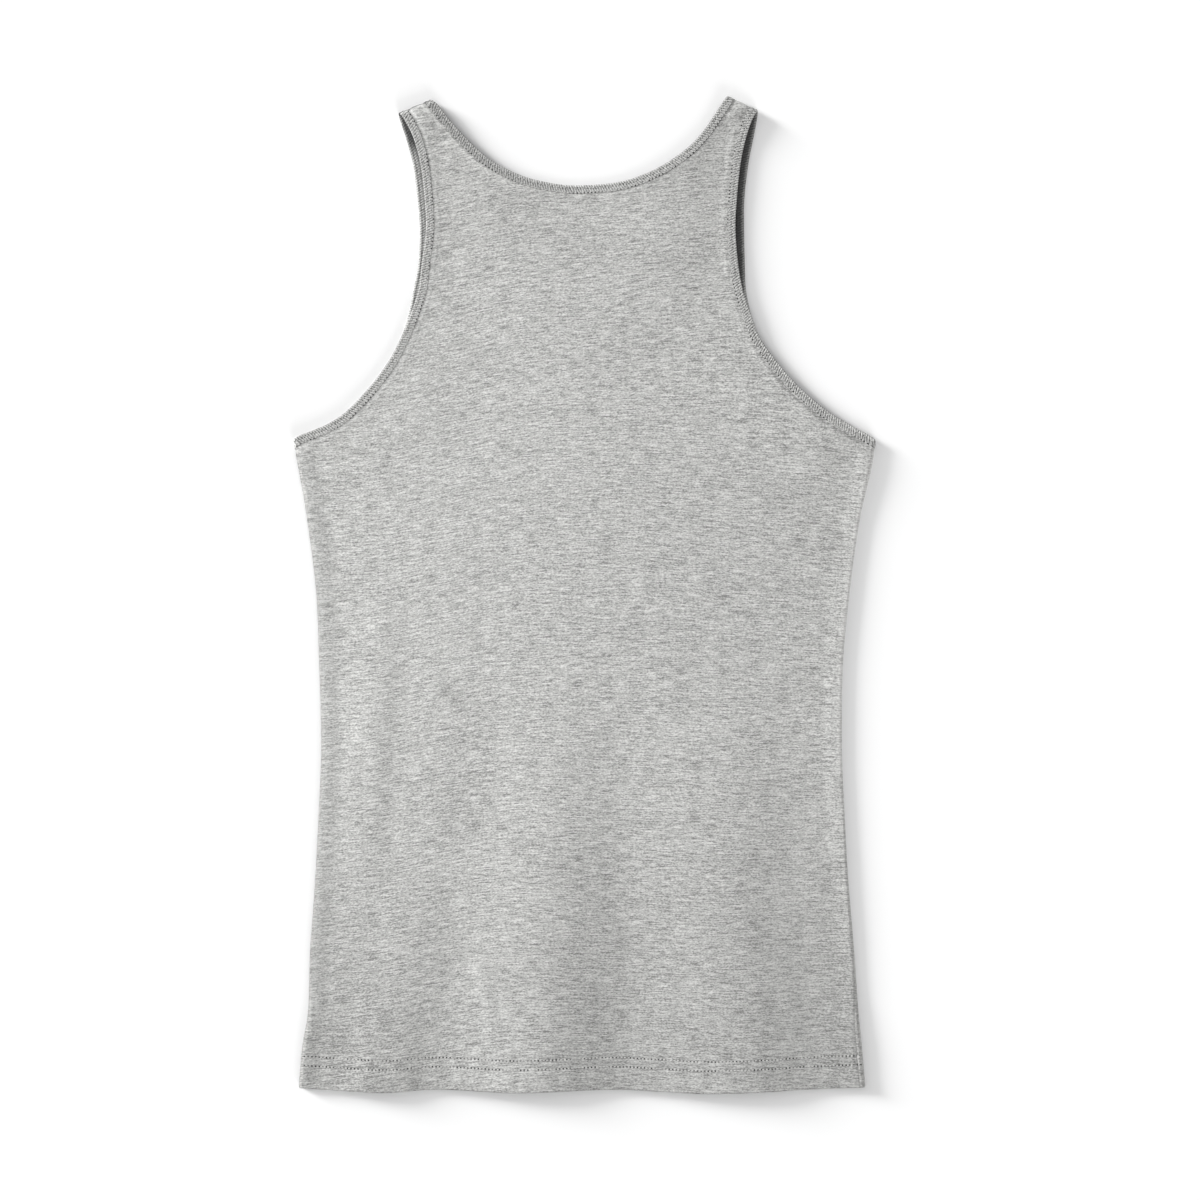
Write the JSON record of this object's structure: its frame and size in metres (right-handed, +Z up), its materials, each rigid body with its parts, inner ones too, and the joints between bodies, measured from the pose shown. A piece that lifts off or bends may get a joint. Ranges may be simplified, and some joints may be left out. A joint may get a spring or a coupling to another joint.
{
  "type": "tank top",
  "caption": "Sleeveless scoop-neck knitted top with narrow straps and bound edges, laid flat with its back up.",
  "frame": {"origin": "on the surface the top lies on, under the middle of its outline", "axes": "+Z up out of the back panel, +Y from the hem towards the shoulders, +X towards the right underarm as it is seen from above"},
  "size_m": [0.396, 0.6776, 0.0077],
  "materials": {
    "jersey": "matt heather grey single jersey",
    "binding_rib": "matt darker heather grey fine rib"
  },
  "bodies": {
    "root": {"front_panel": "jersey", "back_panel": "jersey", "neck_binding": "binding_rib", "armhole_binding_left": "binding_rib", "armhole_binding_right": "binding_rib"}
  },
  "joints": []
}
